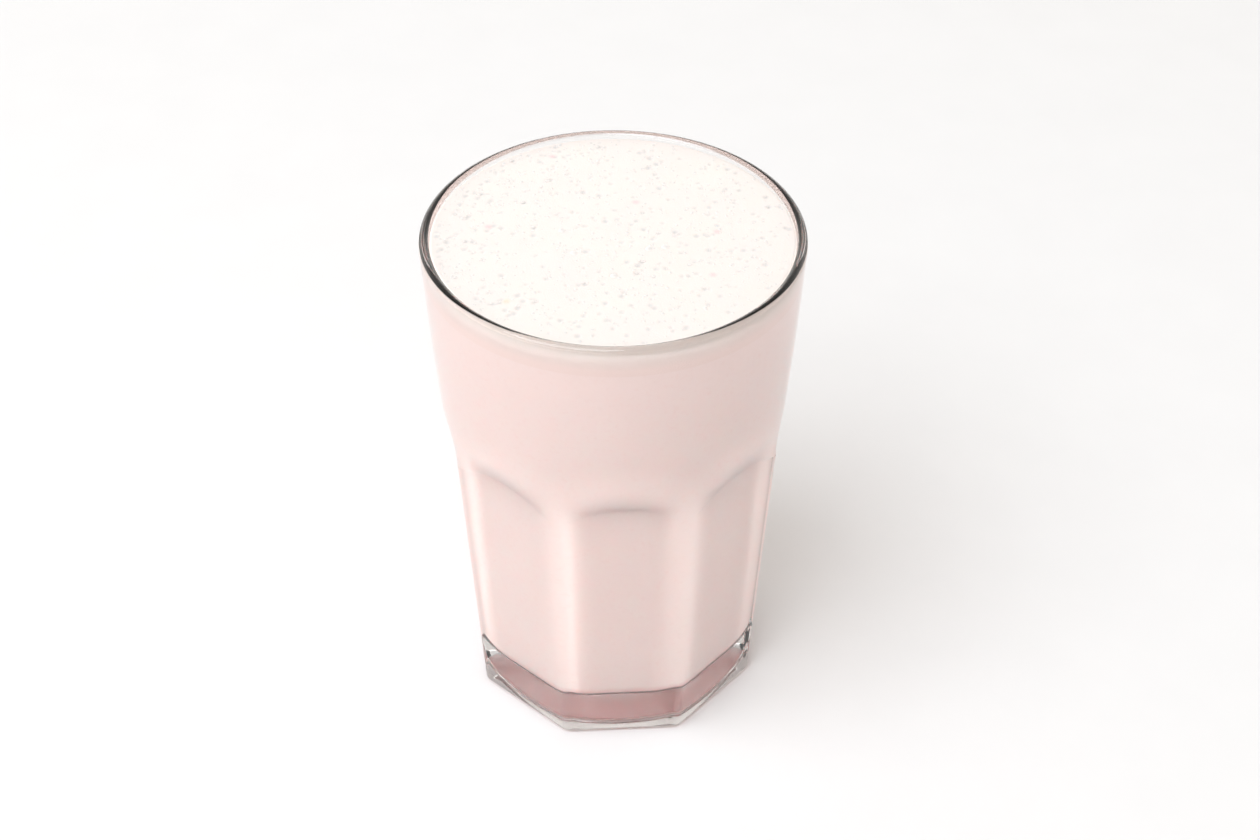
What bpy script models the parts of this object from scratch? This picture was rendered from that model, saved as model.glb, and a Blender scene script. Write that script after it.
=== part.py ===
"""A strawberry smoothie with a pale head of foam, filled to the rim of its pressed glass tumbler.

The tumbler is eight-sided below and round above. Each flat side ends in a low arch, and a soft
shoulder leads from the arches out to the round body. All sizes are in metres, and +Z is up.
"""

import math

import bmesh
import bpy
from mathutils import Vector

# Driving dimensions of the tumbler
HEIGHT = 0.1231
RIM_RADIUS = 0.0425
RIM_WALL = 0.0024
SHOULDER_WALL = 0.0029
SIDE_WALL = 0.0031
BASE_THICKNESS = 0.0101

# The round body above, and how much it bulges between its ends
BODY_FOOT_HEIGHT = 0.0758
BODY_FOOT_RADIUS = 0.03917
BODY_BULGE = 0.00022

# The eight flat sides below: half the width across flats, and the radius of the rounded edges
SIDES = 8
FOOT_APOTHEM = 0.03222
SIDE_TOP_APOTHEM = 0.03625
SIDE_TOP_HEIGHT = 0.0687
FOOT_EDGE_RADIUS = 0.0077
SIDE_TOP_EDGE_RADIUS = 0.0097

# The arches that end the flat sides, and the shoulder above them
ARCH_CROWN_HEIGHT = 0.0746
ARCH_SPRING_HEIGHT = 0.0701
SHOULDER_CROWN_HEIGHT = 0.0855
SHOULDER_SPRING_HEIGHT = 0.0821
SHOULDER_CURVE = 1.7

# The inside: eight-sided with very round corners below, round above
INNER_FOOT_EDGE_RADIUS = 0.0097
INNER_TOP_EDGE_RADIUS = 0.0155
INNER_ROUND_START = 0.0600
INNER_ROUND_END = 0.0850
FLOOR_FILLET = 0.0048

# The underside: a flat ring to stand on round a shallow hollow
FOOT_ROUNDING = 0.0012
HOLLOW_RADIUS = 0.0260
HOLLOW_INNER_RADIUS = 0.0246
HOLLOW_EDGE_HEIGHT = 0.0009
HOLLOW_MIDDLE_RADIUS = 0.0125
HOLLOW_MIDDLE_HEIGHT = 0.0013

# The drink and its foam
FOAM_BOTTOM = 0.1150
FOAM_EDGE_LEVEL = 0.1220
FOAM_MIDDLE_LEVEL = 0.1225
FOAM_EDGE_ROUNDING = 0.0006
GAP = 0.0003

# Rows and points of the lofts
POINTS_PER_SIDE = 10
POINTS = SIDES * POINTS_PER_SIDE
SIDE_ROWS = 4
SHOULDER_ROWS = 5
BODY_ROWS = 4
LIP_ROWS = 6
FILLET_ROWS = 4
INNER_ROWS = 9
FOOT_ROWS = 3
HALF_SIDE = math.pi / SIDES
SMOOTH_LIMIT = math.radians(28)


def mix(start, end, share):
    """The value that lies share of the way from start to end."""
    return start + (end - start) * share


def soft_step(share):
    """A step from 0 to 1 that starts and ends level."""
    share = min(max(share, 0.0), 1.0)
    return share * share * (3 - 2 * share)


def from_side_middle(angle):
    """The angle to the middle of the nearest flat side, 0 to half a side."""
    return abs((angle + HALF_SIDE) % (2 * HALF_SIDE) - HALF_SIDE)


def rounded_polygon(angle, apothem, edge_radius):
    """The radius, at an angle, of an even polygon whose corners are rounded."""
    offset = from_side_middle(angle)
    straight_end = math.atan2((apothem - edge_radius) * math.tan(HALF_SIDE), apothem)
    if offset <= straight_end:
        return apothem / math.cos(offset)
    corner_distance = (apothem - edge_radius) / math.cos(HALF_SIDE)
    turn = HALF_SIDE - offset
    reach = math.sqrt(edge_radius**2 - (corner_distance * math.sin(turn)) ** 2)
    return corner_distance * math.cos(turn) + reach


def body_radius(height):
    """The outside of the round, flaring body."""
    share = (height - BODY_FOOT_HEIGHT) / (HEIGHT - BODY_FOOT_HEIGHT)
    return mix(BODY_FOOT_RADIUS, RIM_RADIUS, share) + BODY_BULGE * 4 * share * (1 - share)


def side_radius(angle, height):
    """The outside of the eight-sided lower part."""
    share = height / SIDE_TOP_HEIGHT
    apothem = mix(FOOT_APOTHEM, SIDE_TOP_APOTHEM, share)
    edge_radius = mix(FOOT_EDGE_RADIUS, SIDE_TOP_EDGE_RADIUS, share)
    return rounded_polygon(angle, apothem, edge_radius)


def arch_share(angle):
    """1 at the crown of an arch, over the middle of a side, and 0 where two arches meet."""
    return math.cos(from_side_middle(angle) / HALF_SIDE * math.pi / 2)


def arch_height(angle):
    return mix(ARCH_SPRING_HEIGHT, ARCH_CROWN_HEIGHT, arch_share(angle))


def shoulder_height(angle):
    return mix(SHOULDER_SPRING_HEIGHT, SHOULDER_CROWN_HEIGHT, arch_share(angle))


def shoulder_radius(angle, share):
    """The shoulder: steepest at the arch and running level into the body."""
    height = mix(arch_height(angle), shoulder_height(angle), share)
    rise = 1 - (1 - share) ** SHOULDER_CURVE
    return mix(side_radius(angle, height), body_radius(height), rise)


def inner_radius(angle, height):
    """The inside of the wall, without the rounding at the floor."""
    thinning = (height - INNER_ROUND_END) / (HEIGHT - INNER_ROUND_END)
    round_part = body_radius(height) - mix(SHOULDER_WALL, RIM_WALL, thinning)
    share = height / SIDE_TOP_HEIGHT
    apothem = mix(FOOT_APOTHEM, SIDE_TOP_APOTHEM, share) - SIDE_WALL
    edge_radius = mix(INNER_FOOT_EDGE_RADIUS, INNER_TOP_EDGE_RADIUS, share)
    sided_part = rounded_polygon(angle, apothem, edge_radius)
    blend = soft_step((height - INNER_ROUND_START) / (INNER_ROUND_END - INNER_ROUND_START))
    return mix(sided_part, round_part, blend)


def ring(radius_of, height_of):
    """One closed row of points; radius_of and height_of take the angle."""
    points = []
    for step in range(POINTS):
        angle = step * 2 * math.pi / POINTS
        radius = radius_of(angle)
        points.append(Vector((radius * math.cos(angle), radius * math.sin(angle), height_of(angle))))
    return points


def level_ring(radius, height):
    """A round row of points at one height."""
    return ring(lambda angle: radius, lambda angle: height)


def underside_rings():
    """From the middle of the hollow out to the flat ring that the glass stands on."""
    return [
        level_ring(HOLLOW_MIDDLE_RADIUS, HOLLOW_MIDDLE_HEIGHT),
        level_ring(HOLLOW_INNER_RADIUS, HOLLOW_EDGE_HEIGHT),
        level_ring(HOLLOW_RADIUS, 0.0),
    ]


def foot_rings():
    """The small rounding between the flat ring and the sides."""
    rings = []
    for row in range(FOOT_ROWS + 1):
        turn = row / FOOT_ROWS * math.pi / 2
        inset = FOOT_ROUNDING * (1 - math.sin(turn))
        height = FOOT_ROUNDING * (1 - math.cos(turn))
        rings.append(ring(lambda a, i=inset, h=height: side_radius(a, h) - i, lambda a, h=height: h))
    return rings


def side_rings():
    """The flat sides, up to the arches."""
    rings = []
    for row in range(1, SIDE_ROWS + 1):
        share = row / SIDE_ROWS
        rings.append(
            ring(
                lambda a, s=share: side_radius(a, mix(FOOT_ROUNDING, arch_height(a), s)),
                lambda a, s=share: mix(FOOT_ROUNDING, arch_height(a), s),
            )
        )
    return rings


def shoulder_rings():
    """The shoulder, from the arches out to the round body."""
    rings = []
    for row in range(1, SHOULDER_ROWS + 1):
        share = row / SHOULDER_ROWS
        rings.append(
            ring(
                lambda a, s=share: shoulder_radius(a, s),
                lambda a, s=share: mix(arch_height(a), shoulder_height(a), s),
            )
        )
    return rings


def body_rings():
    """The round body, from the shoulder up to the lip."""
    top = HEIGHT - RIM_WALL / 2
    rings = []
    for row in range(1, BODY_ROWS + 1):
        share = row / BODY_ROWS
        rings.append(
            ring(
                lambda a, s=share: body_radius(mix(shoulder_height(a), top, s)),
                lambda a, s=share: mix(shoulder_height(a), top, s),
            )
        )
    return rings


def lip_rings():
    """The round lip, from the outside over the top to the inside."""
    lip_radius = RIM_WALL / 2
    centre_height = HEIGHT - lip_radius
    centre_radius = body_radius(centre_height) - lip_radius
    rings = []
    for row in range(1, LIP_ROWS + 1):
        turn = row / LIP_ROWS * math.pi
        rings.append(
            level_ring(
                centre_radius + lip_radius * math.cos(turn),
                centre_height + lip_radius * math.sin(turn),
            )
        )
    return rings


def inside_rings(top, floor, inset):
    """The cavity from a top height down to its floor, made narrower by inset."""
    fillet_top = floor + FLOOR_FILLET
    rings = []
    for row in range(INNER_ROWS + 1):
        height = mix(top, fillet_top, row / INNER_ROWS)
        rings.append(ring(lambda a, h=height: inner_radius(a, h) - inset, lambda a, h=height: h))
    for row in range(1, FILLET_ROWS + 1):
        turn = row / FILLET_ROWS * math.pi / 2
        drop = FLOOR_FILLET * math.sin(turn)
        pull = inset + FLOOR_FILLET * (1 - math.cos(turn))
        height = fillet_top - drop
        rings.append(ring(lambda a, h=height, p=pull: inner_radius(a, h) - p, lambda a, h=height: h))
    return rings


def loft(name, rings, first_height, last_height):
    """A closed solid through rows of points, each end closed to a point on the axis."""
    mesh = bmesh.new()
    rows = [[mesh.verts.new(point) for point in points] for points in rings]
    first = mesh.verts.new((0.0, 0.0, first_height))
    last = mesh.verts.new((0.0, 0.0, last_height))
    for step in range(POINTS):
        after = (step + 1) % POINTS
        mesh.faces.new((first, rows[0][after], rows[0][step]))
        for lower, upper in zip(rows, rows[1:]):
            mesh.faces.new((lower[step], lower[after], upper[after], upper[step]))
        mesh.faces.new((rows[-1][step], rows[-1][after], last))
    data = bpy.data.meshes.new(name)
    mesh.to_mesh(data)
    mesh.free()
    data.shade_smooth()
    data.set_sharp_from_angle(angle=SMOOTH_LIMIT)
    return bpy.data.objects.new(name, data)


def foam_profile():
    """The foam's half section, from the axis at the top, down its outer side and back to the axis."""
    top_edge = inner_radius(0.0, FOAM_EDGE_LEVEL) - GAP
    bottom_edge = inner_radius(0.0, FOAM_BOTTOM) - GAP
    rounding = FOAM_EDGE_ROUNDING
    return [
        (0.0, FOAM_MIDDLE_LEVEL),
        (top_edge * 0.6, mix(FOAM_MIDDLE_LEVEL, FOAM_EDGE_LEVEL, 0.3)),
        (top_edge - rounding * 2, FOAM_EDGE_LEVEL),
        (top_edge - rounding * 0.5, FOAM_EDGE_LEVEL - rounding * 0.3),
        (top_edge, FOAM_EDGE_LEVEL - rounding),
        (bottom_edge, FOAM_BOTTOM),
        (0.0, FOAM_BOTTOM),
    ]


def turned(name, profile):
    """A solid turned about the Z axis from an open profile whose ends lie on the axis."""
    data = bpy.data.meshes.new(name)
    points = [(radius, 0.0, height) for radius, height in profile]
    data.from_pydata(points, [(i, i + 1) for i in range(len(points) - 1)], [])
    thing = bpy.data.objects.new(name, data)
    screw = thing.modifiers.new("turn", "SCREW")
    screw.axis = "Z"
    screw.angle = 2 * math.pi
    screw.steps = POINTS
    screw.render_steps = POINTS
    screw.use_merge_vertices = True
    screw.merge_threshold = 0.00005
    screw.use_smooth_shade = True
    return thing


def material(name, colour, roughness, transmission=0.0):
    """A plain material with the piece's own colour and finish."""
    made = bpy.data.materials.new(name)
    made.use_nodes = True
    shader = made.node_tree.nodes["Principled BSDF"]
    shader.inputs["Base Color"].default_value = (*colour, 1.0)
    shader.inputs["Roughness"].default_value = roughness
    shader.inputs["Metallic"].default_value = 0.0
    shader.inputs["Transmission Weight"].default_value = transmission
    return made


def make_glass():
    """The tumbler, from the middle of its underside round over the lip to its floor."""
    rings = underside_rings() + foot_rings() + side_rings() + shoulder_rings() + body_rings()
    rings += lip_rings()
    rings += inside_rings(HEIGHT - RIM_WALL / 2, BASE_THICKNESS, 0.0)[1:]
    thing = loft("glass", rings, HOLLOW_MIDDLE_HEIGHT, BASE_THICKNESS)
    thing.data.materials.append(material("clear_glass", (0.95, 0.96, 0.96), 0.02, 1.0))
    return thing


def make_smoothie():
    """The pink drink, which fills the glass up to the foam."""
    rings = inside_rings(FOAM_BOTTOM - GAP, BASE_THICKNESS + GAP, GAP)
    rings.reverse()
    thing = loft("smoothie", rings, BASE_THICKNESS + GAP, FOAM_BOTTOM - GAP)
    thing.data.materials.append(material("pink_smoothie", (0.86, 0.66, 0.64), 0.35))
    return thing


def make_foam():
    """The pale head of fine foam, level with the rim."""
    thing = turned("foam", foam_profile())
    thing.data.materials.append(material("pale_foam", (0.93, 0.86, 0.82), 0.6))
    return thing


def main():
    for old in list(bpy.data.objects):
        bpy.data.objects.remove(old)
    parts = bpy.data.collections.new("strawberry_smoothie")
    bpy.context.scene.collection.children.link(parts)
    for thing in (make_glass(), make_smoothie(), make_foam()):
        parts.objects.link(thing)


main()
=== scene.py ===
"""The looks of a strawberry smoothie with a pale head of foam, in its pressed glass tumbler.

The glass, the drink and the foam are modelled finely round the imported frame, which is in metres
with +Z up and the glass standing on z = 0. Flat side middles lie at 0, 45, 90 ... degrees.
"""

import math

import bpy
import numpy as np
from mathutils import Matrix, Vector


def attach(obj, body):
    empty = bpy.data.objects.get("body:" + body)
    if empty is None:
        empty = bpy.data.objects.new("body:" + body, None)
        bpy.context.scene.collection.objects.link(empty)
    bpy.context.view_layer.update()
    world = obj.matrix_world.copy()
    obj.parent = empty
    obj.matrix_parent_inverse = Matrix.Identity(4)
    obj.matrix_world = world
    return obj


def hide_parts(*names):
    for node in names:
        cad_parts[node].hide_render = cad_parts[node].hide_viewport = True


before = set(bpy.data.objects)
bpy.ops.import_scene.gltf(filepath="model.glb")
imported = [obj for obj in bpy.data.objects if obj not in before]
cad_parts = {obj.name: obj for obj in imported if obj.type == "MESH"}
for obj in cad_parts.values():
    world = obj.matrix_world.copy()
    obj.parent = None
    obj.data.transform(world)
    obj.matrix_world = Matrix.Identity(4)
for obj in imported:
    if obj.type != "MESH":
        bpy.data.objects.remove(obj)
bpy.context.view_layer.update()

# The tumbler's driving dimensions
HEIGHT = 0.1231
RIM_RADIUS = 0.0425
RIM_WALL = 0.0024
SHOULDER_WALL = 0.0029
SIDE_WALL = 0.0031
BASE_THICKNESS = 0.0101
BODY_FOOT_HEIGHT = 0.0758
BODY_FOOT_RADIUS = 0.03917
BODY_BULGE = 0.00022
SIDES = 8
HALF_SIDE = math.pi / SIDES
FOOT_APOTHEM = 0.03222
SIDE_TOP_APOTHEM = 0.03625
SIDE_TOP_HEIGHT = 0.0687
FOOT_EDGE_RADIUS = 0.0030
SIDE_TOP_EDGE_RADIUS = 0.0030
ARCH_CROWN_HEIGHT = 0.0746
ARCH_SPRING_HEIGHT = 0.0701
SHOULDER_CROWN_HEIGHT = 0.0835
SHOULDER_SPRING_HEIGHT = 0.0800
STEP_SHARE = 0.30
STEP_REACH = 0.020
KNEE = 0.75
KNEE_WIDTH = 0.08
INNER_FOOT_EDGE_RADIUS = 0.0130
INNER_TOP_EDGE_RADIUS = 0.0220
INNER_ROUND_START = 0.0600
INNER_ROUND_END = 0.0850
FLOOR_FILLET = 0.0048
FOOT_ROUNDING = 0.0012
HOLLOW_RADIUS = 0.0260
HOLLOW_INNER_RADIUS = 0.0246
HOLLOW_EDGE_HEIGHT = 0.0009
HOLLOW_MIDDLE_RADIUS = 0.0125
HOLLOW_MIDDLE_HEIGHT = 0.0013

# The drink and its foam, which both reach just into the wall so that no air shows between
INTO_WALL = 0.00015
GLASS_INDEX = 1.5
LIQUID_INDEX = 1.35
FOAM_BOTTOM = 0.1150
FOAM_EDGE_LEVEL = 0.1220
FOAM_MIDDLE_LEVEL = 0.1225
FOAM_EDGE_ROUNDING = 0.0005

# How finely the round pieces are made
POINTS = SIDES * 48
ANGLES = np.arange(POINTS) * 2 * math.pi / POINTS
SIDE_ROWS = 16
SHOULDER_ROWS = 34
BODY_ROWS = 26
LIP_ROWS = 16
INNER_ROWS = 56
FILLET_ROWS = 12
FOOT_ROWS = 6
FLAT_ROWS = 6
SMOOTH_LIMIT = math.radians(50)

# The foam's top: cells across it, and its open bubbles and closed ones
FOAM_CELLS = 276
FOAM_SIDE_ROWS = 12
SOFT_PITS = 420
SOFT_PIT_RADIUS = (0.00060, 0.00110)
SOFT_PIT_DEPTH = 0.16
FOAM_SWELL = 0.00010
BUBBLES = 1500
BUBBLE_RADIUS = (0.00016, 0.00048)
BUBBLE_HEIGHT = 0.30
BUBBLE_CORNERS = 12
BUBBLE_ROWS = (0.0, 0.35, 0.62, 0.84, 1.0)
# Places, in millimetres, of larger bubbles whose grey middles are painted shade
GREY_BUBBLES = ((7.4, -5.9), (10.9, -5.3), (-11.1, 2.4), (-8.9, -6.4), (-0.7, -15.1))
PINK_SPOTS = ((-27.2, 4.9), (-12.2, 32.7), (22.7, 0.1), (20.4, -15.9), (5.7, 12.4))
ORANGE_SPOTS = ((-23.8, -22.7),)
SPOT_RADIUS = 0.0013
MILLIMETRE = 0.001

# The photograph's camera, in metres and degrees, and its focal length in millimetres
CAMERA_DISTANCE = 0.41437
CAMERA_HEIGHT = 0.40886
CAMERA_PITCH = math.radians(39.25)
CAMERA_YAW = math.radians(0.52)
CAMERA_ROLL = math.radians(0.18)
CAMERA_TURN = math.radians(-3.12)
CAMERA_LENS = 65.774
CAMERA_SENSOR = 36.0

# The floor and the light
FLOOR_SIZE = 6.0
FLOOR_COLOUR = (0.76, 0.76, 0.76)
KEY_PLACE = (-0.66, -0.63, 1.72)
KEY_SIZE = 1.60
KEY_POWER = 26.0
KEY_COLOUR = (0.95, 1.0, 1.06)
SKY_COLOUR = (1.0, 0.955, 0.91)
SKY_LEVEL = 2.30
SKY_TOP = 0.50
SKY_DIM = 0.55
SKY_DIM_WAY = (0.50, -0.87, 0.0)
SKY_BRIGHT = 1.30
SKY_BRIGHT_WAY = (-0.85, -0.53, 0.0)

random_draws = np.random.default_rng(27)


def mix(start, end, share):
    """The value that lies share of the way from start to end."""
    return start + (end - start) * share


def soft_step(share):
    """A step from 0 to 1 that starts and ends level."""
    share = np.clip(share, 0.0, 1.0)
    return share * share * (3 - 2 * share)


def from_side_middle(angle):
    """The angle to the middle of the nearest flat side, 0 to half a side."""
    return np.abs((angle + HALF_SIDE) % (2 * HALF_SIDE) - HALF_SIDE)


def rounded_polygon(angle, apothem, edge_radius):
    """The radius, at an angle, of an even polygon whose corners are rounded."""
    offset = from_side_middle(angle)
    straight_end = np.arctan2((apothem - edge_radius) * math.tan(HALF_SIDE), apothem)
    corner_distance = (apothem - edge_radius) / math.cos(HALF_SIDE)
    turn = HALF_SIDE - offset
    reach = np.sqrt(np.maximum(edge_radius**2 - (corner_distance * np.sin(turn)) ** 2, 0.0))
    corner = corner_distance * np.cos(turn) + reach
    return np.where(offset <= straight_end, apothem / np.cos(offset), corner)


def body_radius(height):
    """The outside of the round, flaring body."""
    share = (height - BODY_FOOT_HEIGHT) / (HEIGHT - BODY_FOOT_HEIGHT)
    return mix(BODY_FOOT_RADIUS, RIM_RADIUS, share) + BODY_BULGE * 4 * share * (1 - share)


def side_radius(angle, height):
    """The outside of the eight-sided lower part."""
    share = height / SIDE_TOP_HEIGHT
    apothem = mix(FOOT_APOTHEM, SIDE_TOP_APOTHEM, share)
    edge_radius = mix(FOOT_EDGE_RADIUS, SIDE_TOP_EDGE_RADIUS, share)
    return rounded_polygon(angle, apothem, edge_radius)


def arch_share(angle):
    """1 at the crown of an arch, over the middle of a side, and 0 where two arches meet."""
    return np.cos(from_side_middle(angle) / HALF_SIDE * math.pi / 2)


def inner_radius(angle, height):
    """The inside of the wall, without the rounding at the floor."""
    thinning = (height - INNER_ROUND_END) / (HEIGHT - INNER_ROUND_END)
    round_part = body_radius(height) - mix(SHOULDER_WALL, RIM_WALL, thinning)
    share = height / SIDE_TOP_HEIGHT
    apothem = mix(FOOT_APOTHEM, SIDE_TOP_APOTHEM, share) - SIDE_WALL
    edge_radius = mix(INNER_FOOT_EDGE_RADIUS, INNER_TOP_EDGE_RADIUS, share)
    sided_part = rounded_polygon(angle, apothem, edge_radius)
    blend = soft_step((height - INNER_ROUND_START) / (INNER_ROUND_END - INNER_ROUND_START))
    return mix(sided_part, round_part, blend)


def ring(radius, height):
    """One closed row of points; radius and height are one value each or one for each point."""
    radius = np.broadcast_to(radius, ANGLES.shape)
    height = np.broadcast_to(height, ANGLES.shape)
    return np.column_stack((radius * np.cos(ANGLES), radius * np.sin(ANGLES), height))


def flat_rings(outer, inner, outer_height, inner_height, rows):
    """Rows that draw in from an outer radius towards the axis, without the outer row."""
    shares = np.arange(1, rows + 1) / rows
    return [ring(mix(outer, inner, s), mix(outer_height, inner_height, s)) for s in shares]


def underside_rings():
    """From the middle of the hollow out to the flat ring that the glass stands on."""
    rings = flat_rings(0.001, HOLLOW_MIDDLE_RADIUS, HOLLOW_MIDDLE_HEIGHT, HOLLOW_MIDDLE_HEIGHT, 3)
    for turn in np.linspace(0, math.pi, 9)[1:]:
        share = (1 - math.cos(turn)) / 2
        radius = mix(HOLLOW_MIDDLE_RADIUS, HOLLOW_INNER_RADIUS, turn / math.pi)
        rings.append(ring(radius, mix(HOLLOW_MIDDLE_HEIGHT, HOLLOW_EDGE_HEIGHT, share)))
    for turn in np.linspace(0, math.pi / 2, 6)[1:]:
        radius = mix(HOLLOW_INNER_RADIUS, HOLLOW_RADIUS, math.sin(turn))
        rings.append(ring(radius, HOLLOW_EDGE_HEIGHT * math.cos(turn)))
    return rings


def foot_rings():
    """The small rounding between the flat ring and the sides."""
    rings = []
    for turn in np.linspace(0, math.pi / 2, FOOT_ROWS + 1):
        inset = FOOT_ROUNDING * (1 - math.sin(turn))
        height = FOOT_ROUNDING * (1 - math.cos(turn))
        rings.append(ring(side_radius(ANGLES, height) - inset, height))
    return rings


def side_rings(arch):
    """The flat sides, up to the arches, with the last rows close together."""
    rings = []
    for row in range(1, SIDE_ROWS + 1):
        share = 1 - (1 - row / SIDE_ROWS) ** 1.8
        height = mix(FOOT_ROUNDING, arch, share)
        rings.append(ring(side_radius(ANGLES, height), height))
    return rings


def knee_curve(share):
    """A straight rise that bends softly into the level at the knee."""
    def bend(s):
        return KNEE_WIDTH * math.log1p(math.exp((1 - s / KNEE) / KNEE_WIDTH))

    return (bend(0) - bend(share)) / (bend(0) - bend(1))


def shoulder_rings(arch, shoulder):
    """The shoulder, from the arches out to the round body: a small ledge, a slope, then the knee."""
    rings = []
    for row in range(1, SHOULDER_ROWS + 1):
        share = (row / SHOULDER_ROWS) ** 1.6
        height = mix(arch, shoulder, share)
        step = STEP_SHARE * (1 - math.exp(-share / STEP_REACH))
        rise = step + (1 - step) * knee_curve(share)
        rings.append(ring(mix(side_radius(ANGLES, height), body_radius(height), rise), height))
    return rings


def body_rings(shoulder):
    """The round body, from the shoulder up to the lip."""
    top = HEIGHT - RIM_WALL / 2
    heights = [mix(shoulder, top, row / BODY_ROWS) for row in range(1, BODY_ROWS + 1)]
    return [ring(body_radius(height), height) for height in heights]


def lip_rings():
    """The round lip, from the outside over the top to the inside."""
    lip_radius = RIM_WALL / 2
    centre_height = HEIGHT - lip_radius
    centre_radius = body_radius(centre_height) - lip_radius
    turns = np.linspace(0, math.pi, LIP_ROWS + 1)[1:-1]
    return [
        ring(centre_radius + lip_radius * math.cos(t), centre_height + lip_radius * math.sin(t))
        for t in turns
    ]


def inside_rings(top, floor, outset):
    """The cavity from a top height down to the middle of its floor, made wider by outset."""
    fillet_top = floor + FLOOR_FILLET
    rings = []
    for height in np.linspace(top, fillet_top, INNER_ROWS + 1):
        rings.append(ring(inner_radius(ANGLES, height) + outset, height))
    for turn in np.linspace(0, math.pi / 2, FILLET_ROWS + 1)[1:]:
        height = fillet_top - FLOOR_FILLET * math.sin(turn)
        pull = FLOOR_FILLET * (1 - math.cos(turn)) - outset
        rings.append(ring(inner_radius(ANGLES, height) - pull, height))
    floor_edge = inner_radius(ANGLES, floor) - FLOOR_FILLET + outset
    rings += flat_rings(floor_edge, floor_edge * 0.02, floor, floor, FLAT_ROWS)
    return rings


def new_object(name, points, faces, smooth=True):
    """A mesh object from points and faces, linked to the scene."""
    data = bpy.data.meshes.new(name)
    data.from_pydata(points, [], faces)
    data.validate()
    if smooth:
        data.shade_smooth()
        data.set_sharp_from_angle(angle=SMOOTH_LIMIT)
    thing = bpy.data.objects.new(name, data)
    bpy.context.scene.collection.objects.link(thing)
    return thing


def band_faces(rows, columns):
    """Faces that join each closed row of points to the next one."""
    row, column = np.meshgrid(np.arange(rows - 1), np.arange(columns), indexing="ij")
    here = row * columns + column
    beside = row * columns + (column + 1) % columns
    corners = (here, beside, beside + columns, here + columns)
    return np.stack(corners, axis=-1).reshape(-1, 4).tolist()


def lofted(name, rings):
    """A closed solid through closed rows of points; each end row is closed by one face."""
    faces = band_faces(len(rings), POINTS)
    last_row = (len(rings) - 1) * POINTS
    faces.append(list(range(POINTS))[::-1])
    faces.append([last_row + i for i in range(POINTS)])
    return new_object(name, np.concatenate(rings).tolist(), faces)


def make_glass():
    """The tumbler, from the middle of its underside round over the lip to its floor."""
    arch = mix(ARCH_SPRING_HEIGHT, ARCH_CROWN_HEIGHT, arch_share(ANGLES))
    shoulder = mix(SHOULDER_SPRING_HEIGHT, SHOULDER_CROWN_HEIGHT, arch_share(ANGLES))
    rings = underside_rings() + foot_rings() + side_rings(arch)
    rings += shoulder_rings(arch, shoulder) + body_rings(shoulder) + lip_rings()
    rings += inside_rings(HEIGHT - RIM_WALL / 2, BASE_THICKNESS, 0.0)
    return lofted("tumbler", rings)


def make_drink():
    """The pink drink, which fills the glass up to the foam."""
    rings = inside_rings(FOAM_BOTTOM + INTO_WALL, BASE_THICKNESS - INTO_WALL, INTO_WALL)
    rings.reverse()
    return lofted("drink", rings)


def disc_grid(cells):
    """Points of a square grid spread evenly over the unit disc, as rows by columns by (x, y)."""
    side = np.linspace(-1, 1, cells + 1)
    u, v = np.meshgrid(side, side, indexing="ij")
    wide = np.abs(u) >= np.abs(v)
    radius = np.where(wide, u, v)
    safe = np.where(radius == 0, 1.0, radius)
    turn = np.where(wide, math.pi / 4 * v / safe, math.pi / 2 - math.pi / 4 * u / safe)
    return np.stack((radius * np.cos(turn), radius * np.sin(turn)), axis=-1)


def scattered(count, radius):
    """Random places over a disc."""
    distance = radius * np.sqrt(random_draws.random(count))
    turn = 2 * math.pi * random_draws.random(count)
    return np.column_stack((distance * np.cos(turn), distance * np.sin(turn)))


def foam_relief(x, y, reach):
    """How far the foam's skin lies above its smooth level: soft pits where bubbles have burst."""
    relief = np.zeros_like(x)
    for (px, py), radius in bubbles(SOFT_PITS, SOFT_PIT_RADIUS, reach):
        share = ((x - px) ** 2 + (y - py) ** 2) / radius**2
        near = share < 1
        relief[near] = np.minimum(relief[near], -SOFT_PIT_DEPTH * radius * (1 - share[near]) ** 2)
    return relief


def crowding(x, y):
    """How readily bubbles gather at a place, 0 to 1: most by the wall at the back left."""
    turn = np.arctan2(y, x)
    near_wall = soft_step((np.hypot(x, y) / RIM_RADIUS - 0.55) / 0.4)
    back_left = 0.5 + 0.5 * np.cos(turn - math.radians(140))
    back_right = 0.5 + 0.5 * np.cos(turn - math.radians(50))
    return np.clip(0.42 + 0.58 * near_wall * back_left**2 - 0.20 * near_wall * back_right**2, 0, 1)


def bubbles(count, radii, reach):
    """Random bubbles as places and radii, small ones more often than large ones."""
    smallest, largest = radii
    places = scattered(count * 2, reach - largest)
    kept = random_draws.random(len(places)) < crowding(places[:, 0], places[:, 1])
    places = places[kept][:count]
    sizes = mix(smallest, largest, random_draws.random(len(places)) ** 2)
    return list(zip(places, sizes))


def foam_level(distance_share):
    """The smooth level of the foam from its middle, 0, to its edge, 1."""
    level = mix(FOAM_MIDDLE_LEVEL, FOAM_EDGE_LEVEL, distance_share**2)
    rounding = np.clip((distance_share - 0.985) / 0.015, 0, 1)
    return level - FOAM_EDGE_ROUNDING * rounding**2


def swell(x, y):
    """Slow unevenness of the foam's top, from a few crossing waves."""
    waves = ((190, 60, 0.4), (-120, 210, 1.9), (310, -150, 3.1), (90, -330, 5.2))
    return sum(np.sin(a * x + b * y + c) for a, b, c in waves) / len(waves) * FOAM_SWELL


def spot_share(x, y, places):
    """1 in the middle of each named spot, in millimetres, and 0 beyond its radius."""
    share = np.zeros_like(x)
    for px, py in places:
        distance = np.hypot(x - px * MILLIMETRE, y - py * MILLIMETRE) / SPOT_RADIUS
        share = np.maximum(share, soft_step(1 - distance))
    return share


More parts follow.
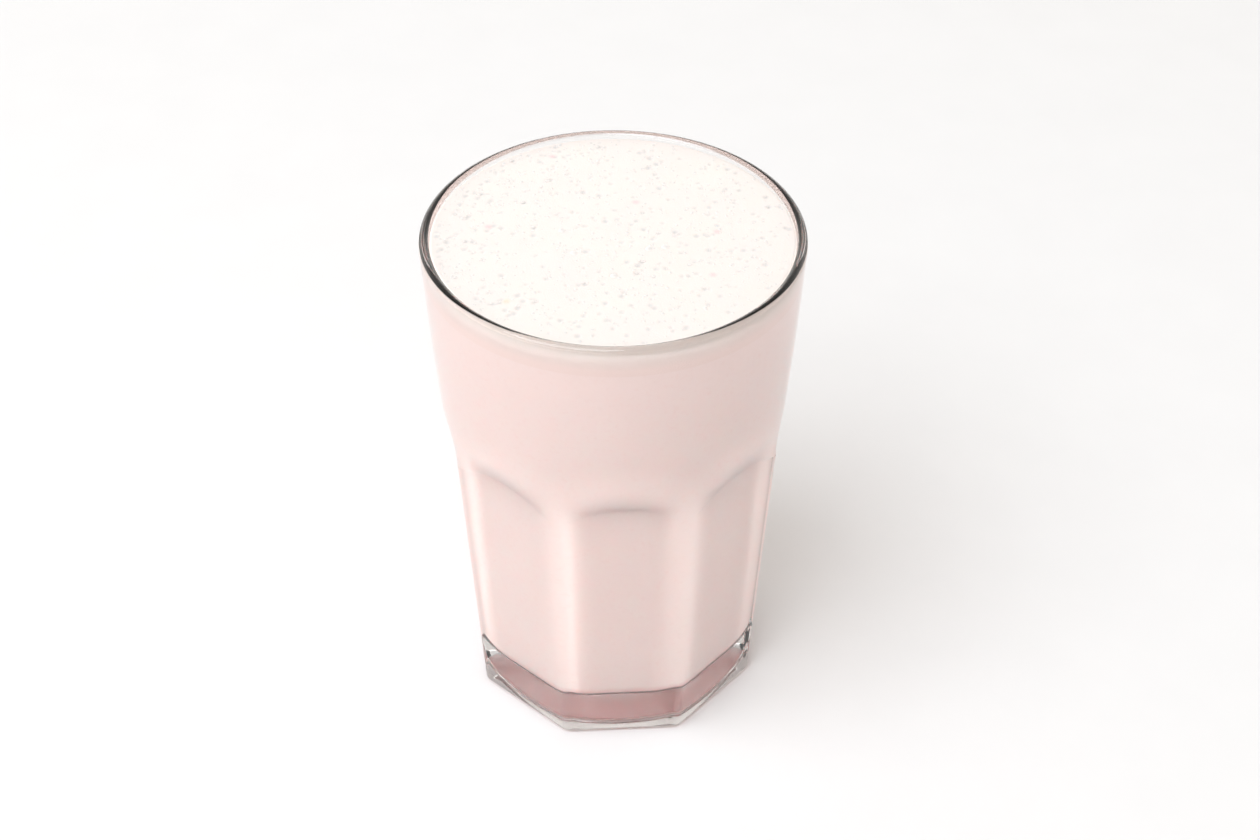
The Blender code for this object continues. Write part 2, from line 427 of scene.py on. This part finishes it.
def set_values(thing, name, values):
    """Stores one number for each point of a piece, for its material."""
    layer = thing.data.attributes.new(name, "FLOAT", "POINT")
    full = np.zeros(len(thing.data.vertices), np.float32)
    full[: len(values)] = values
    layer.data.foreach_set("value", full)


def make_bubbles():
    """The small closed bubbles on the foam, each a low dome set into it."""
    reach = inner_radius(0.0, FOAM_EDGE_LEVEL - FOAM_EDGE_ROUNDING)
    turn = np.arange(BUBBLE_CORNERS) * 2 * math.pi / BUBBLE_CORNERS
    marked = [(np.array(p) * MILLIMETRE, 0.0009) for p in GREY_BUBBLES]
    points, faces, middles = [], [], []
    for (px, py), radius in bubbles(BUBBLES, BUBBLE_RADIUS, reach * 0.985) + marked:
        level = foam_level(math.hypot(px, py) / reach) + swell(px, py)
        start = len(points)
        points.append((px, py, level + BUBBLE_HEIGHT * radius))
        middles.append(1.0)
        for row, share in enumerate(BUBBLE_ROWS[1:]):
            height = level + BUBBLE_HEIGHT * radius * (1 - share**2) - 0.00002 * share
            ring_x, ring_y = px + radius * share * np.cos(turn), py + radius * share * np.sin(turn)
            points += np.column_stack((ring_x, ring_y, np.full(BUBBLE_CORNERS, height))).tolist()
            middles += [1.0 - share] * BUBBLE_CORNERS
        here = start + 1
        faces += [(start, here + i, here + (i + 1) % BUBBLE_CORNERS) for i in range(BUBBLE_CORNERS)]
        rows = len(BUBBLE_ROWS) - 1
        faces += (np.array(band_faces(rows, BUBBLE_CORNERS)) + here).tolist()
        last = here + (rows - 1) * BUBBLE_CORNERS
        faces.append([last + i for i in range(BUBBLE_CORNERS)][::-1])
    thing = new_object("foam_bubbles", points, faces)
    set_values(thing, "middle", middles)
    return thing


def make_foam():
    """The head of foam: a fine, pitted top, and a side that follows the wall."""
    spread = disc_grid(FOAM_CELLS)
    reach = inner_radius(0.0, FOAM_EDGE_LEVEL - FOAM_EDGE_ROUNDING) + INTO_WALL
    x, y = spread[..., 0] * reach, spread[..., 1] * reach
    share = np.hypot(spread[..., 0], spread[..., 1])
    inside = soft_step((1 - share) / 0.02)
    relief = foam_relief(x, y, reach)
    height = foam_level(share) + (relief + swell(x, y)) * inside
    points = np.stack((x, y, height), axis=-1).reshape(-1, 3).tolist()
    depth = (np.maximum(-relief, 0) * inside).reshape(-1)

    count = FOAM_CELLS + 1
    index = np.arange(count * count).reshape(count, count)
    cells = (index[:-1, :-1], index[1:, :-1], index[1:, 1:], index[:-1, 1:])
    faces = np.stack(cells, axis=-1).reshape(-1, 4).tolist()

    border = np.concatenate((index[:-1, 0], index[-1, :-1], index[1:, -1][::-1], index[0, 1:][::-1]))
    edge = np.stack((x, y), axis=-1).reshape(-1, 2)[border]
    turn = np.arctan2(edge[:, 1], edge[:, 0])
    rows = [border]
    edge_height = foam_level(np.array(1.0))
    for level in np.linspace(edge_height, FOAM_BOTTOM, FOAM_SIDE_ROWS + 1)[1:]:
        radius = inner_radius(0.0, level) + INTO_WALL
        start = len(points)
        points += np.column_stack(
            (radius * np.cos(turn), radius * np.sin(turn), np.full(len(turn), level))
        ).tolist()
        rows.append(np.arange(start, start + len(border)))
    for upper, lower in zip(rows, rows[1:]):
        beside_upper, beside_lower = np.roll(upper, -1), np.roll(lower, -1)
        faces += np.stack((upper, lower, beside_lower, beside_upper), axis=-1).tolist()
    faces.append(rows[-1][::-1].tolist())

    foam = new_object("foam_head", points, faces)
    # The pits' depth, which the foam's material turns into painted shade.
    set_values(foam, "pit_depth", depth)
    set_values(foam, "pink_spot", spot_share(x, y, PINK_SPOTS).reshape(-1))
    set_values(foam, "orange_spot", spot_share(x, y, ORANGE_SPOTS).reshape(-1))
    return foam


def new_material(name):
    """A material with nodes, and its tree and shader."""
    made = bpy.data.materials.new(name)
    made.use_nodes = True
    return made, made.node_tree, made.node_tree.nodes["Principled BSDF"]


def object_place(tree, stretch=(1.0, 1.0, 1.0)):
    """The piece's own coordinates, stretched along each axis."""
    source = tree.nodes.new("ShaderNodeTexCoord")
    scaled = tree.nodes.new("ShaderNodeMapping")
    scaled.inputs["Scale"].default_value = stretch
    tree.links.new(source.outputs["Object"], scaled.inputs["Vector"])
    return scaled.outputs["Vector"]


def noise(tree, place, scale, detail=3.0, roughness=0.5):
    """Smooth noise; scale is in waves per metre."""
    node = tree.nodes.new("ShaderNodeTexNoise")
    node.inputs["Scale"].default_value = scale
    node.inputs["Detail"].default_value = detail
    node.inputs["Roughness"].default_value = roughness
    tree.links.new(place, node.inputs["Vector"])
    return node.outputs["Fac"]


def spread_to(tree, value, low, high, from_low=0.3, from_high=0.7):
    """A value from noise, spread between low and high."""
    node = tree.nodes.new("ShaderNodeMapRange")
    node.inputs["From Min"].default_value = from_low
    node.inputs["From Max"].default_value = from_high
    node.inputs["To Min"].default_value = low
    node.inputs["To Max"].default_value = high
    tree.links.new(value, node.inputs["Value"])
    return node.outputs["Result"]


def product(tree, first, second):
    """Two values multiplied."""
    node = tree.nodes.new("ShaderNodeMath")
    node.operation = "MULTIPLY"
    tree.links.new(first, node.inputs[0])
    tree.links.new(second, node.inputs[1])
    return node.outputs["Value"]


def mixed_colour(tree, share, first, second):
    """A colour between two, each a colour or a socket."""
    node = tree.nodes.new("ShaderNodeMix")
    node.data_type = "RGBA"
    tree.links.new(share, node.inputs["Factor"])
    for socket, colour in ((node.inputs["A"], first), (node.inputs["B"], second)):
        if isinstance(colour, tuple):
            socket.default_value = (*colour, 1.0)
        else:
            tree.links.new(colour, socket)
    return node.outputs["Result"]


def bump(tree, height, strength, distance, below=None):
    """Relief from a height value, on top of the relief below, if any."""
    node = tree.nodes.new("ShaderNodeBump")
    node.inputs["Strength"].default_value = strength
    node.inputs["Distance"].default_value = distance
    tree.links.new(height, node.inputs["Height"])
    if below is not None:
        tree.links.new(below, node.inputs["Normal"])
    return node.outputs["Normal"]


def wetted(tree, shader, share=None):
    """Puts the glass's own reflection over a shader that touches the glass from inside.

    A ray inside the wall that meets the liquid too flatly is thrown back whole, so the wall
    shows the drink from in front but not along the rim or through the corners.
    """
    film = tree.nodes.new("ShaderNodeFresnel")
    film.inputs["IOR"].default_value = LIQUID_INDEX / GLASS_INDEX
    mirror = tree.nodes.new("ShaderNodeBsdfGlossy")
    smear = noise(tree, object_place(tree), 90, 2)
    tree.links.new(spread_to(tree, smear, 0.01, 0.03), mirror.inputs["Roughness"])
    blend = tree.nodes.new("ShaderNodeMixShader")
    amount = film.outputs["Fac"]
    if share is not None:
        amount = product(tree, amount, share)
    tree.links.new(amount, blend.inputs["Fac"])
    tree.links.new(shader.outputs["BSDF"], blend.inputs[1])
    tree.links.new(mirror.outputs["BSDF"], blend.inputs[2])
    tree.links.new(blend.outputs["Shader"], tree.nodes["Material Output"].inputs["Surface"])


def glass_material():
    """Clear pressed glass: smooth, with the slight waviness of its mould."""
    made, tree, shader = new_material("clear_glass")
    shader.inputs["Base Color"].default_value = (0.965, 0.962, 0.958, 1.0)
    shader.inputs["Transmission Weight"].default_value = 1.0
    shader.inputs["IOR"].default_value = GLASS_INDEX
    smear = noise(tree, object_place(tree, (1, 1, 0.5)), 90, 4)
    tree.links.new(spread_to(tree, smear, 0.0, 0.02), shader.inputs["Roughness"])
    waviness = noise(tree, object_place(tree, (1, 1, 0.25)), 120, 1)
    tree.links.new(bump(tree, waviness, 0.04, 0.0004), shader.inputs["Normal"])
    return made


def drink_material():
    """Opaque milky pink liquid with soft clouding, and painted shade that turns its bottom darker and
    deeper pink.
    """
    made, tree, shader = new_material("pink_smoothie")
    place = object_place(tree)
    clouds = spread_to(tree, noise(tree, place, 60, 4), 0, 1)
    specks = spread_to(tree, noise(tree, place, 900, 2), 0, 1, 0.55, 0.75)
    colour = mixed_colour(tree, clouds, (0.955, 0.80, 0.775), (0.955, 0.81, 0.79))
    colour = mixed_colour(tree, specks, colour, (0.945, 0.78, 0.755))
    height = tree.nodes.new("ShaderNodeSeparateXYZ")
    tree.links.new(place, height.inputs["Vector"])
    # Painted shade: the lowest few millimetres of the drink, seen only through the glass's base, are
    # coloured darker and deeper pink.
    painted_bottom_shade = spread_to(tree, height.outputs["Z"], 1, 0, BASE_THICKNESS + 0.001, BASE_THICKNESS + 0.004)
    colour = mixed_colour(tree, painted_bottom_shade, colour, (0.93, 0.60, 0.58))
    tree.links.new(colour, shader.inputs["Base Color"])
    tree.links.new(spread_to(tree, clouds, 0.30, 0.45, 0, 1), shader.inputs["Roughness"])
    tree.links.new(bump(tree, noise(tree, place, 700, 2), 0.1, 0.0002), shader.inputs["Normal"])
    below_foam = spread_to(tree, height.outputs["Z"], 0.5, 0, 0.100, 0.113)
    tree.links.new(below_foam, shader.inputs["Subsurface Weight"])
    shader.inputs["Subsurface Radius"].default_value = (1.0, 0.5, 0.45)
    shader.inputs["Subsurface Scale"].default_value = 0.006
    wetted(tree, shader)
    return made


def stored(tree, name):
    """A number stored with the piece's points."""
    node = tree.nodes.new("ShaderNodeAttribute")
    node.attribute_name = name
    return node.outputs["Fac"]


def bubble_material():
    """Closed bubbles of thin wet film over foam, their grey middles painted shade that fades into the
    foam at the rim.
    """
    made, tree, shader = new_material("bubble_painted_shade")
    place = object_place(tree)
    shades = spread_to(tree, noise(tree, place, 500, 2), 0, 1)
    # Painted shade: the grey in each bubble's middle stands in for the darker look of a clear bubble over
    # foam.
    painted_shade_grey = mixed_colour(tree, shades, (0.70, 0.675, 0.655), (0.64, 0.62, 0.61))
    middle = spread_to(tree, stored(tree, "middle"), 0, 1, 0.1, 0.6)
    colour = mixed_colour(tree, middle, (0.765, 0.715, 0.68), painted_shade_grey)
    tree.links.new(colour, shader.inputs["Base Color"])
    tree.links.new(spread_to(tree, shades, 0.25, 0.40, 0, 1), shader.inputs["Roughness"])
    grain = noise(tree, place, 3000, 2)
    tree.links.new(bump(tree, grain, 0.1, 0.0001), shader.inputs["Normal"])
    return made


def foam_material():
    """Fine wet foam: near white, with faint pink and cream patches, and painted shade that makes its pits
    slightly darker and greyer.
    """
    made, tree, shader = new_material("pale_foam")
    place = object_place(tree)
    patches = spread_to(tree, noise(tree, place, 110, 3), 0, 1)
    colour = mixed_colour(tree, patches, (0.765, 0.72, 0.68), (0.765, 0.705, 0.675))
    # Painted shade: the deeper a pit, the greyer the foam in it.
    painted_pit_shade = spread_to(tree, stored(tree, "pit_depth"), 0, 1, 0.0, 0.00018)
    colour = mixed_colour(tree, painted_pit_shade, colour, (0.62, 0.60, 0.59))
    colour = mixed_colour(tree, stored(tree, "pink_spot"), colour, (0.76, 0.58, 0.58))
    colour = mixed_colour(tree, stored(tree, "orange_spot"), colour, (0.80, 0.66, 0.54))
    height = tree.nodes.new("ShaderNodeSeparateXYZ")
    tree.links.new(place, height.inputs["Vector"])
    drink_share = spread_to(tree, height.outputs["Z"], 1, 0, 0.1165, 0.1215)
    colour = mixed_colour(tree, drink_share, colour, (0.935, 0.775, 0.742))
    tree.links.new(colour, shader.inputs["Base Color"])
    tree.links.new(spread_to(tree, patches, 0.30, 0.50, 0, 1), shader.inputs["Roughness"])
    grain = noise(tree, place, 2600, 2)
    tree.links.new(bump(tree, grain, 0.25, 0.0002), shader.inputs["Normal"])
    near_top = spread_to(tree, height.outputs["Z"], 0, 0.35, 0.1185, 0.1210)
    tree.links.new(near_top, shader.inputs["Subsurface Weight"])
    shader.inputs["Subsurface Radius"].default_value = (1.0, 0.8, 0.7)
    shader.inputs["Subsurface Scale"].default_value = 0.0008
    wetted(tree, shader, spread_to(tree, height.outputs["Z"], 1, 0, 0.1214, 0.1216))
    return made


def floor_material():
    """Matt pale board with a barely visible grain."""
    made, tree, shader = new_material("pale_floor")
    place = object_place(tree)
    grain = spread_to(tree, noise(tree, place, 40, 3), 0, 1)
    darker = tuple(value * 0.985 for value in FLOOR_COLOUR)
    tree.links.new(mixed_colour(tree, grain, FLOOR_COLOUR, darker), shader.inputs["Base Color"])
    tree.links.new(spread_to(tree, grain, 0.75, 0.85, 0, 1), shader.inputs["Roughness"])
    shader.inputs["Specular IOR Level"].default_value = 0.2
    return made


def finish_piece(piece, material, replaced=None):
    """Gives a piece its material and its body, and hides the node it stands for."""
    piece.data.materials.append(material)
    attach(piece, "root")
    if replaced:
        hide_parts(replaced)


def make_floor():
    half = FLOOR_SIZE / 2
    corners = [(-half, -half, 0), (half, -half, 0), (half, half, 0), (-half, half, 0)]
    floor = new_object("floor", corners, [(0, 1, 2, 3)], smooth=False)
    floor.data.materials.append(floor_material())


def towards(tree, way, direction):
    """How much a way points in one direction, from -1 to 1."""
    node = tree.nodes.new("ShaderNodeVectorMath")
    node.operation = "DOT_PRODUCT"
    node.inputs[1].default_value = direction
    tree.links.new(way.outputs["Generated"], node.inputs[0])
    return node.outputs["Value"]


def light_scene():
    """One large soft light, high at the front left, in a bright surround."""
    lamp = bpy.data.lights.new("key", "AREA")
    lamp.shape = "DISK"
    lamp.size = KEY_SIZE
    lamp.energy = KEY_POWER
    lamp.color = KEY_COLOUR
    key = bpy.data.objects.new("key", lamp)
    key.location = KEY_PLACE
    key.rotation_euler = (-Vector(KEY_PLACE)).to_track_quat("-Z", "Y").to_euler()
    bpy.context.scene.collection.objects.link(key)
    world = bpy.data.worlds.new("surround")
    world.use_nodes = True
    tree = world.node_tree
    background = tree.nodes["Background"]
    background.inputs["Color"].default_value = (*SKY_COLOUR, 1.0)
    way = tree.nodes.new("ShaderNodeTexCoord")
    axes = tree.nodes.new("ShaderNodeSeparateXYZ")
    tree.links.new(way.outputs["Generated"], axes.inputs["Vector"])
    upward = spread_to(tree, axes.outputs["Z"], SKY_LEVEL, SKY_TOP, 0.05, 0.75)
    dimmed = spread_to(tree, towards(tree, way, SKY_DIM_WAY), 1.0, SKY_DIM, 0.5, 0.95)
    brighter = spread_to(tree, towards(tree, way, SKY_BRIGHT_WAY), 1.0, SKY_BRIGHT, 0.3, 0.9)
    strength = product(tree, product(tree, upward, dimmed), brighter)
    tree.links.new(strength, background.inputs["Strength"])
    bpy.context.scene.world = world


def place_camera():
    """The photograph's camera: its axes from pitch, yaw and roll, then turned about the glass."""
    forward = Vector(
        (
            math.sin(CAMERA_YAW) * math.cos(CAMERA_PITCH),
            math.cos(CAMERA_YAW) * math.cos(CAMERA_PITCH),
            -math.sin(CAMERA_PITCH),
        )
    )
    level_right = Vector((math.cos(CAMERA_YAW), -math.sin(CAMERA_YAW), 0.0))
    level_up = level_right.cross(forward)
    right = math.cos(CAMERA_ROLL) * level_right + math.sin(CAMERA_ROLL) * level_up
    up = right.cross(forward)
    axes = Matrix((right, up, -forward)).transposed().to_4x4()
    place = Matrix.Translation((0.0, -CAMERA_DISTANCE, CAMERA_HEIGHT)) @ axes
    data = bpy.data.cameras.new("camera")
    data.lens = CAMERA_LENS
    data.sensor_width = CAMERA_SENSOR
    data.clip_start = 0.01
    camera = bpy.data.objects.new("camera", data)
    camera.matrix_world = Matrix.Rotation(CAMERA_TURN, 4, "Z") @ place
    bpy.context.scene.collection.objects.link(camera)
    bpy.context.scene.camera = camera


finish_piece(make_glass(), glass_material(), "glass")
finish_piece(make_drink(), drink_material(), "smoothie")
finish_piece(make_foam(), foam_material(), "foam")
finish_piece(make_bubbles(), bubble_material())
make_floor()
light_scene()
place_camera()
bpy.context.scene.view_settings.view_transform = "Standard"
bpy.context.scene.cycles.blur_glossy = 0.0
